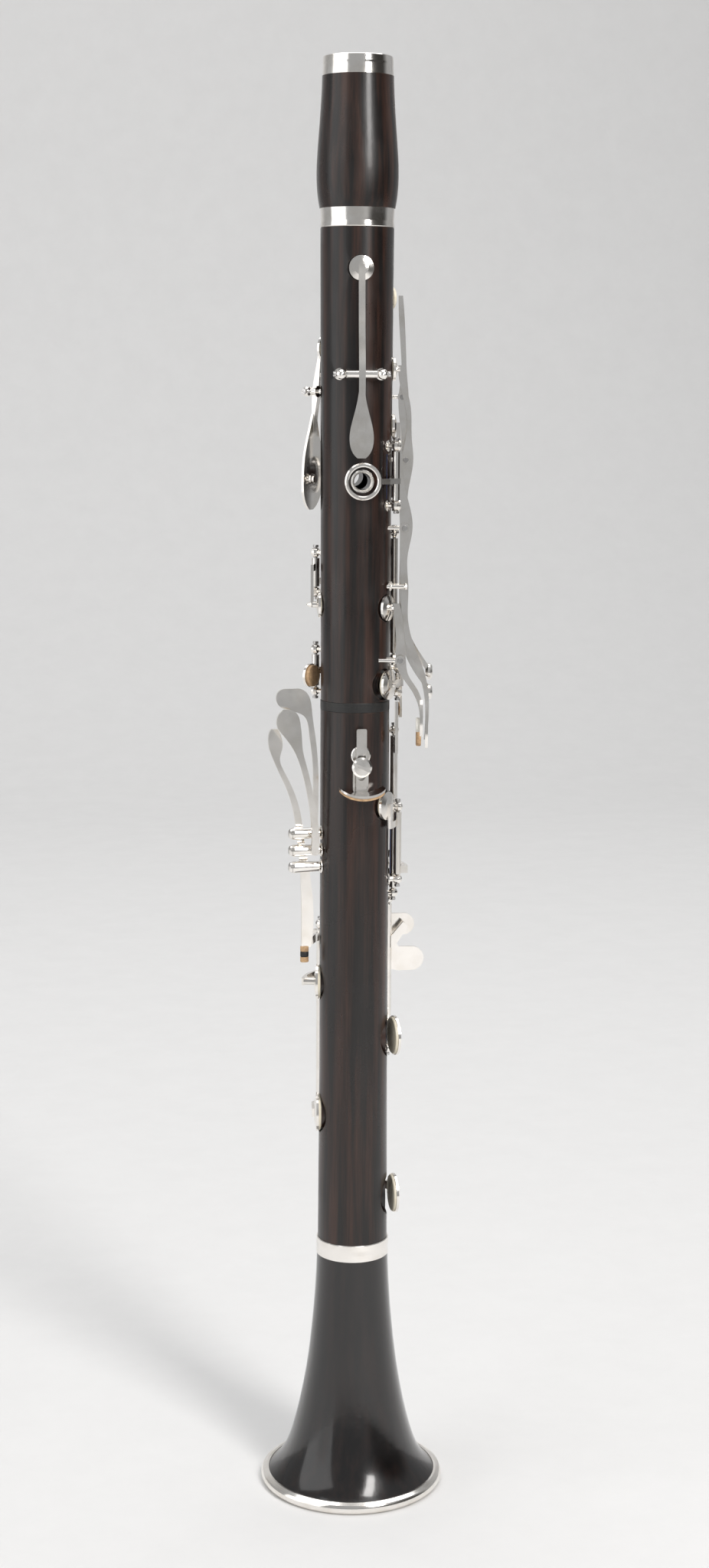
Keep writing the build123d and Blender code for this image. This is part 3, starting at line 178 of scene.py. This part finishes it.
def woodMaterial(name, settings):
    mat, tree, shader = newMaterial(name)
    grain = useGroup(tree, grainGroup, -900, 200)
    marks = useGroup(tree, smearGroup, -900, -200, Scale=45.0)
    wear = useGroup(tree, wearGroup, -900, -500)
    streak = mapRange(tree, grain.outputs["Streaks"], 0.42, 0.68, x=-600, y=200)
    colour = mixColour(tree, streak, settings["dark"], settings["warm"], -350, 200)
    fine = mapRange(tree, grain.outputs["Fine"], 0.3, 0.7, 0.75, 1.25, x=-600)
    colour = mixColour(tree, 1.0, colour, fine, -200, 200, blend="MULTIPLY")
    rubbed = combine(tree, "MULTIPLY", wear.outputs["Mask"], settings["wear"])
    colour = mixColour(tree, rubbed, colour, settings["bare"], 0, 200)
    tree.links.new(colour, shader.inputs["Base Color"])
    rough = settings["rough"]
    roughness = mapRange(tree, marks.outputs["Smears"], 0.0, 1.0, rough, rough + 0.12, x=-350, y=-200)
    tree.links.new(roughness, shader.inputs["Roughness"])
    shader.inputs["IOR"].default_value = 1.5
    shader.inputs["Coat Weight"].default_value = settings["coat"]
    shader.inputs["Coat Roughness"].default_value = 0.08
    bump(tree, shader, grain.outputs["Fine"], 0.12, 0.00012)
    return mat


def metalMaterial(name, colour, tarnish, rough):
    mat, tree, shader = newMaterial(name)
    marks = useGroup(tree, smearGroup, -900, 0, Scale=70.0)
    coord = addNode(tree, "ShaderNodeTexCoord", -1100, 200)
    cloud = noise(tree, coord.outputs["Object"], 120.0, 6.0, x=-900, y=300)
    blot = mapRange(tree, cloud, 0.45, 0.75, 0.0, 0.5, x=-600, y=300)
    tree.links.new(mixColour(tree, blot, colour, tarnish, -350, 300), shader.inputs["Base Color"])
    shader.inputs["Metallic"].default_value = 1.0
    roughness = mapRange(tree, marks.outputs["Smears"], 0.0, 1.0, rough, rough + 0.1, x=-350, y=-100)
    tree.links.new(roughness, shader.inputs["Roughness"])
    scratch = noise(tree, coord.outputs["Object"], 2600.0, 3.0, x=-600, y=-400)
    bump(tree, shader, scratch, 0.06, 0.00004)
    return mat


def softMaterial(name, colour, other, rough, grainScale, height):
    mat, tree, shader = newMaterial(name)
    coord = addNode(tree, "ShaderNodeTexCoord", -1100, 0)
    patch = noise(tree, coord.outputs["Object"], grainScale, 6.0, 0.7, x=-800, y=100)
    spread = mapRange(tree, patch, 0.35, 0.68, x=-600, y=100)
    tree.links.new(mixColour(tree, spread, colour, other, -350, 100), shader.inputs["Base Color"])
    roughness = mapRange(tree, patch, 0.3, 0.7, rough - 0.08, rough + 0.08, x=-350, y=-100)
    tree.links.new(roughness, shader.inputs["Roughness"])
    bump(tree, shader, patch, 0.35, height)
    return mat


def tubeMaterial(name, settings):
    # silver at the mouth of a tube, black towards the bore: painted shade for the dark inside of the hole
    mat, tree, shader = newMaterial(name)
    coord = addNode(tree, "ShaderNodeTexCoord", -1100)
    level = addNode(tree, "ShaderNodeVectorMath", -900, operation="MULTIPLY")
    level.inputs[1].default_value = (1.0, 1.0, 0.0)
    tree.links.new(coord.outputs["Object"], level.inputs[0])
    reach = addNode(tree, "ShaderNodeVectorMath", -700, operation="LENGTH")
    tree.links.new(level.outputs["Vector"], reach.inputs[0])
    # painted shade: the colour turns black inside the tube, nearer the bore's axis
    paintedHoleShade = mapRange(tree, reach.outputs["Value"], settings["brightFrom"], settings["blackBelow"], x=-500)
    colour = mixColour(tree, paintedHoleShade, settings["silver"], settings["black"], -250)
    tree.links.new(colour, shader.inputs["Base Color"])
    shader.inputs["Metallic"].default_value = 1.0
    marks = useGroup(tree, smearGroup, -900, -300, Scale=70.0)
    roughness = mapRange(tree, marks.outputs["Smears"], 0.0, 1.0, 0.16, 0.3, x=-250, y=-300)
    tree.links.new(roughness, shader.inputs["Roughness"])
    return mat


jointWood = {
    "dark": (0.0075, 0.0055, 0.005),
    "warm": (0.040, 0.018, 0.012),
    "bare": (0.16, 0.1, 0.07),
    "wear": 0.35,
    "rough": 0.26,
    "coat": 0.12,
}
polishedWood = dict(jointWood, dark=(0.005, 0.004, 0.004), warm=(0.013, 0.008, 0.007), rough=0.13, coat=0.5)
# the bore tube's painted hole shade: where it starts, and its black
tubeSettings = {
    "brightFrom": 0.0152,  # distances from the bore's axis
    "blackBelow": 0.0146,
    "silver": (0.9, 0.87, 0.82),
    "black": (0.004, 0.004, 0.004),
}

grenadilla = woodMaterial("Grenadilla", jointWood)
bellWood = woodMaterial("Polished grenadilla", polishedWood)
silver = metalMaterial("Silver plate", (0.93, 0.90, 0.86), (0.70, 0.65, 0.57), 0.10)
rodSteel = metalMaterial("Rod steel", (0.60, 0.59, 0.58), (0.40, 0.37, 0.34), 0.22)
blueSteel = metalMaterial("Blued steel", (0.07, 0.09, 0.17), (0.12, 0.09, 0.09), 0.28)
corkLook = softMaterial("Cork", (0.60, 0.40, 0.22), (0.36, 0.22, 0.12), 0.75, 650.0, 0.0002)
padLook = softMaterial("Pad skin", (0.86, 0.80, 0.66), (0.78, 0.70, 0.54), 0.5, 300.0, 0.00008)
composite = softMaterial("Black composite", (0.012, 0.012, 0.012), (0.02, 0.019, 0.018), 0.42, 900.0, 0.00004)
rubberLook = softMaterial("Rubber", (0.010, 0.010, 0.011), (0.022, 0.021, 0.020), 0.55, 1200.0, 0.00003)
bumperLook = softMaterial("White bumper", (0.86, 0.84, 0.78), (0.74, 0.71, 0.64), 0.6, 900.0, 0.00005)
boreTubeLook = tubeMaterial("Bore tube silver with painted shade", tubeSettings)

nodeLooks = {"bell_body": bellWood, "bore_tubes": boreTubeLook}  # these two differ from their slot
slotLooks = {
    "grenadilla": grenadilla,
    "silver_plate": silver,
    "steel_rod": rodSteel,
    "blued_steel": blueSteel,
    "cork": corkLook,
    "pad_skin": padLook,
    "black_composite": composite,
}


def smoothFaces(mesh, sharpDegrees):
    for face in mesh.polygons:
        face.use_smooth = True
    mesh.set_sharp_from_angle(angle=math.radians(sharpDegrees))


for part in frame["record"]["subparts"]:
    obj = nodes[part["node"]]
    obj.data.materials.clear()
    obj.data.materials.append(nodeLooks.get(part["node"], slotLooks[part["material_slot"]]))
    smoothFaces(obj.data, 35)
print("materials placed")


def outOf(azimuth):
    # level direction out of the bore; azimuths count from the thumb side (-Y) towards +X
    turn = math.radians(azimuth)
    return Vector((math.sin(turn), -math.cos(turn), 0.0))


def spot(azimuth, out, height, aside=0.0):
    return outOf(azimuth) * out + outOf(azimuth + 90) * aside + Vector((0, 0, height))


def addPiece(name, work, look, body):
    bmesh.ops.recalc_face_normals(work, faces=work.faces)
    mesh = bpy.data.meshes.new(name)
    work.to_mesh(mesh)
    work.free()
    piece = bpy.data.objects.new(name, mesh)
    bpy.context.collection.objects.link(piece)
    mesh.materials.append(look)
    smoothFaces(mesh, 40)
    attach(piece, body)


def crossDirections(axis, turn=0.0):
    across = axis.cross(Vector((0, 0, 1)))
    across = across.normalized() if across.length > 0.01 else Vector((1, 0, 0))
    across.rotate(Quaternion(axis, turn))
    return across, axis.cross(across)


def skinRings(work, rings):
    # walls between the rings of corners, and a cap on each end
    for lower, upper in zip(rings, rings[1:]):
        for step in range(len(lower)):
            after = (step + 1) % len(lower)
            work.faces.new((lower[step], lower[after], upper[after], upper[step]))
    work.faces.new(rings[0])
    work.faces.new(rings[-1])


def lathe(work, base, axis, profile, oval=(1.0, 1.0), steps=40):
    # closed round form along an axis; the profile holds (radius, height) pairs
    across, up = crossDirections(axis)
    rings = []
    for radius, height in profile:
        ring = []
        for step in range(steps):
            turn = 2 * math.pi * step / steps
            side = across * (math.cos(turn) * radius * oval[0]) + up * (math.sin(turn) * radius * oval[1])
            ring.append(work.verts.new(base + axis * height + side))
        rings.append(ring)
    skinRings(work, rings)


def roundPad(name, base, axis, settings, look, body):
    # a glued disc with soft edges
    radius, thick, edge = settings["radius"], settings["thick"], settings["edge"]
    profile = [(radius - edge * 0.4, 0.0), (radius, edge * 0.6)]
    for step in range(5):
        turn = math.pi / 2 * step / 4
        profile.append((radius - edge + edge * math.cos(turn), thick - edge + edge * math.sin(turn)))
    work = bmesh.new()
    lathe(work, base, axis, profile, settings["oval"])
    addPiece(name, work, look, body)


def slottedHead(name, base, axis, settings, turn):
    # a round base and, on it, two half discs with the slot left open between them
    across, up = crossDirections(axis, turn)
    radius, rise, slotHalf = settings["radius"], settings["rise"], settings["slot"] / 2
    floorLevel = rise * 0.35
    work = bmesh.new()
    lathe(work, base, axis, [(radius, settings["sunk"]), (radius, floorLevel)], steps=28)
    start = math.asin(slotHalf / radius)
    for side in (-1, 1):
        rings = []
        for shrink, level in ((1.0, floorLevel), (1.0, rise * 0.8), (0.9, rise)):
            ring = []
            for step in range(15):
                angle = start + (math.pi - 2 * start) * step / 14
                x = math.cos(angle) * radius * shrink
                y = side * (slotHalf + (math.sin(angle) * radius - slotHalf) * shrink)
                ring.append(work.verts.new(base + axis * level + across * x + up * y))
            rings.append(ring)
        skinRings(work, rings)
    addPiece(name, work, rodSteel, "instrument")


def meshIslands(mesh):
    # corner lists of the separate solids in one mesh, joined where corners share a place
    keys = {}
    parent = {}

    def root(key):
        while parent[key] != key:
            parent[key] = parent[parent[key]]
            key = parent[key]
        return key

    for vertex in mesh.vertices:
        key = tuple(round(value * 1e6) for value in vertex.co)
        keys[vertex.index] = key
        parent.setdefault(key, key)
    for face in mesh.polygons:
        first = root(keys[face.vertices[0]])
        for index in face.vertices[1:]:
            parent[root(keys[index])] = first
    groups = {}
    for vertex in mesh.vertices:
        groups.setdefault(root(keys[vertex.index]), []).append(vertex.co.copy())
    return list(groups.values())


def average(corners):
    return sum(corners, Vector()) / len(corners)


# pivot screws: a slotted head on both ends of each hinge rod
screwSettings = {
    "radius": 0.00115,
    "sunk": -0.0004,
    "rise": 0.00055,
    "slot": 0.00042,
    "proud": 0.00035,  # how far the head stands past the rod's end
    "firstTurn": 0.6,
    "nextTurn": 0.7,  # so that no two slots stand alike
}
endReach = 0.0025  # corners this near to a rod's far corner belong to its end
screwCount = 0
for rod in meshIslands(nodes["hinge_rods"].data):
    middle = average(rod)
    far = max(rod, key=lambda corner: (corner - middle).length)
    opposite = middle * 2 - far
    firstEnd = average([corner for corner in rod if (corner - far).length < endReach])
    secondEnd = average([corner for corner in rod if (corner - opposite).length < endReach])
    run = (firstEnd - secondEnd).normalized()
    for end, way in ((firstEnd, run), (secondEnd, -run)):
        screwCount += 1
        slotTurn = screwSettings["firstTurn"] + screwCount * screwSettings["nextTurn"]
        headBase = end + way * screwSettings["proud"]
        slottedHead(f"pivot_screw_{screwCount}", headBase, way, screwSettings, slotTurn)
print(screwCount, "pivot screws")

# bumpers on the thumb side of the two side keys' touches
sideBumper = {
    "radius": 0.0031,
    "thick": 0.0021,
    "edge": 0.0006,
    "oval": (1.0, 1.0),
    "inset": 0.0032,
    "front": -0.0065,
    "up": 0.0035,
}
low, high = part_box("side_key_2")
place = Vector((high.x - sideBumper["inset"], sideBumper["front"], low.z + sideBumper["up"]))
roundPad("side_bumper_2", place, outOf(260), sideBumper, corkLook, "side_key_2")

smallBumper = {
    "radius": 0.0024,
    "thick": 0.0016,
    "edge": 0.0005,
    "oval": (0.8, 1.25),
    "out": 0.0264,
    "up": 0.0045,
}
low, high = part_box("side_key_1")
place = spot(80, smallBumper["out"], low.z + smallBumper["up"], aside=-0.0098)
roundPad("side_bumper_1", place, outOf(260), smallBumper, bumperLook, "side_key_1")

# cork between the C sharp touch and the body
touchCork = {
    "radius": 0.0042,
    "thick": 0.0014,
    "edge": 0.0004,
    "oval": (1.0, 1.05),
    "out": 0.01715,
    "height": 0.347,
}
place = spot(225, touchCork["out"], touchCork["height"], aside=0.0066)
roundPad("c_sharp_touch_cork", place, outOf(45), touchCork, corkLook, "c_sharp_key")

# cork face under the bridge's upper tab
bridgeCork = {
    "radius": 0.0021,
    "thick": 0.00022,
    "edge": 0.0001,
    "oval": (1.0, 1.3),
    "out": 0.0186,
    "up": 0.0034,
}
low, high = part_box("bridge_key")
place = spot(95.2, bridgeCork["out"], low.z + bridgeCork["up"])
roundPad("bridge_cork", place, outOf(275), bridgeCork, corkLook, "bridge_key")

# cork, rubber and cork again at the foot of the left hand F sharp lever
leverStack = {
    "radius": 0.0016,
    "thick": 0.0022,
    "edge": 0.0003,
    "oval": (1.1, 0.9),
    "out": 0.0205,
    "step": 0.00225,
}
low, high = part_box("lever_f_sharp")
for step, look in enumerate((corkLook, rubberLook, corkLook)):
    place = spot(263.5, leverStack["out"], low.z + 0.0005 - step * leverStack["step"])
    roundPad(f"lever_cork_{step + 1}", place, Vector((0, 0, -1)), leverStack, look, "lever_f_sharp")
print("small pieces placed")

cameraSettings = {
    "azimuth": -9.5,
    "distance": 0.9873,
    "height": 0.470,
    "pitch": -9.616,
    "lens": 55.9,
    "roll": 0.29,
}
camData = bpy.data.cameras.new("Camera")
camera = bpy.data.objects.new("Camera", camData)
bpy.context.collection.objects.link(camera)
camera.location = spot(cameraSettings["azimuth"], cameraSettings["distance"], cameraSettings["height"])
tilt = math.radians(90 + cameraSettings["pitch"])
camera.rotation_euler = (tilt, 0, math.radians(cameraSettings["azimuth"]))
camera.rotation_euler.rotate_axis("Z", math.radians(cameraSettings["roll"]))
camData.lens = cameraSettings["lens"]
camData.sensor_width = 36.0
camData.clip_start = 0.01
bpy.context.scene.camera = camera
print("camera placed")

# floor: a flat sheet that curves up behind the object
floorSettings = {"width": 6.0, "front": -2.0, "back": 1.6, "curve": 0.9, "wall": 2.0, "steps": 12}
outline = []
for step in range(floorSettings["steps"]):
    share = step / floorSettings["steps"]
    outline.append((floorSettings["front"] + share * (floorSettings["back"] - floorSettings["front"]), 0.0))
for step in range(floorSettings["steps"] + 1):
    turn = step / floorSettings["steps"] * math.pi / 2
    rise = floorSettings["curve"] * (1 - math.cos(turn))
    outline.append((floorSettings["back"] + floorSettings["curve"] * math.sin(turn), rise))
outline.append((outline[-1][0], outline[-1][1] + floorSettings["wall"]))
work = bmesh.new()
rows = [[work.verts.new((side * floorSettings["width"] / 2, y, z)) for side in (-1, 1)] for y, z in outline]
for lower, upper in zip(rows, rows[1:]):
    work.faces.new((lower[0], lower[1], upper[1], upper[0]))
floorMesh = bpy.data.meshes.new("floor")
work.to_mesh(floorMesh)
work.free()
for face in floorMesh.polygons:
    face.use_smooth = True
floorMesh.materials.append(softMaterial("Paper", (0.78, 0.775, 0.77), (0.76, 0.755, 0.75), 0.8, 30.0, 0.0001))
floor = bpy.data.objects.new("Floor", floorMesh)
bpy.context.collection.objects.link(floor)


def areaLight(name, location, target, size, power, colour=(1, 1, 1)):
    data = bpy.data.lights.new(name, "AREA")
    data.shape = "RECTANGLE"
    data.size, data.size_y = size
    data.energy = power
    data.color = colour
    lamp = bpy.data.objects.new(name, data)
    bpy.context.collection.objects.link(lamp)
    lamp.location = location
    lamp.visible_camera = False
    lamp.rotation_euler = (Vector(target) - Vector(location)).to_track_quat("-Z", "Y").to_euler()


areaLight("Left wall", (-1.5, -0.5, 0.7), (0, 0, 0.3), (1.6, 1.8), 10.0)
areaLight("Right softbox", (0.47, -1.02, 1.12), (0, 0, 0.35), (0.30, 1.0), 14.0, (1.0, 0.98, 0.96))
areaLight("Overhead", (0.1, 0.3, 2.2), (0, 0, 0), (2.2, 2.2), 18.0)
areaLight("Backdrop", (0.0, 0.9, 1.9), (0, 1.9, 0.5), (3.0, 1.0), 12.0)

# the room: pale all round, with a wide dark part on the right and a narrow dark band on the left
roomSettings = {
    "strength": 0.42,
    "pale": (0.86, 0.87, 0.88),
    "dark": (0.10, 0.095, 0.09),
    "darkParts": [(60.0, 0.92, 0.76), (-62.0, 0.992, 0.96)],  # azimuth, cosine where full, cosine where none
}
world = bpy.data.worlds.new("World")
bpy.context.scene.world = world
world.use_nodes = True
roomTree = world.node_tree
roomCoord = addNode(roomTree, "ShaderNodeTexCoord", -900)
patches = []
for azimuth, full, none in roomSettings["darkParts"]:
    towards = addNode(roomTree, "ShaderNodeVectorMath", -700, operation="DOT_PRODUCT")
    roomTree.links.new(roomCoord.outputs["Generated"], towards.inputs[0])
    towards.inputs[1].default_value = outOf(azimuth)
    patches.append(mapRange(roomTree, towards.outputs["Value"], none, full, x=-500))
darkness = combine(roomTree, "MAXIMUM", patches[0], patches[1], -300)
roomColour = mixColour(roomTree, darkness, roomSettings["pale"], roomSettings["dark"], -100)
background = roomTree.nodes["Background"]
roomTree.links.new(roomColour, background.inputs["Color"])
background.inputs["Strength"].default_value = roomSettings["strength"]
bpy.context.scene.view_settings.view_transform = "Standard"
print("stage set")
